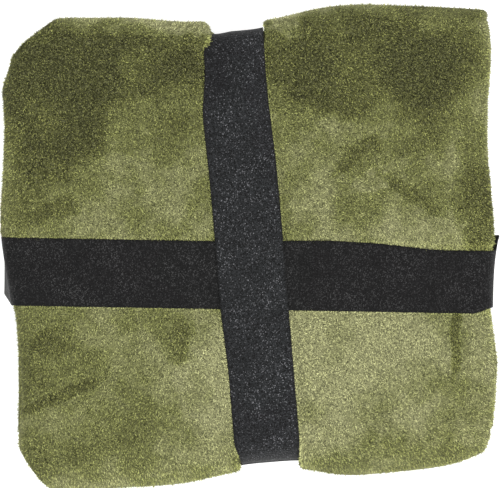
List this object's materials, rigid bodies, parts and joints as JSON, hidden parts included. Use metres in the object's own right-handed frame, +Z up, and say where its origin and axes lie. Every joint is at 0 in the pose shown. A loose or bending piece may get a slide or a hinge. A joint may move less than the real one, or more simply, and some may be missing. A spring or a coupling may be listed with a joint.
{
  "type": "folded camp blanket",
  "caption": "Plush fleece blanket folded into a square bundle and held by crossed ribbon bands that slide off.",
  "frame": {"origin": "under the middle of the folded bundle, on the surface it lies on", "axes": "+Z up out of the bundle's top face, +X along the inner band, +Y along the outer band, towards the folded nose"},
  "size_m": [0.3813, 0.3512, 0.0926],
  "materials": {
    "fleece": "brushed plush pile, matte with a soft sheen",
    "ribbon": "matte woven black ribbon",
    "thread": "black sewing thread",
    "label": "plain white satin, blank"
  },
  "bodies": {
    "folded_bundle": {"folded_blanket": "fleece", "care_label": "label"},
    "vertical_band": {"vertical_band": "ribbon", "vertical_band_stitching": "thread"},
    "horizontal_band": {"horizontal_band": "ribbon", "horizontal_band_stitching": "thread"}
  },
  "joints": [
    {"name": "vertical_band_slide", "type": "slide", "parent": "folded_bundle", "child": "vertical_band", "axis": [1, 0, 0], "range_m": [-0.225, 0.225], "deforming": ["folded_blanket", "care_label"]},
    {"name": "horizontal_band_slide", "type": "slide", "parent": "folded_bundle", "child": "horizontal_band", "axis": [0, 1, 0], "range_m": [-0.066, 0.1]}
  ]
}
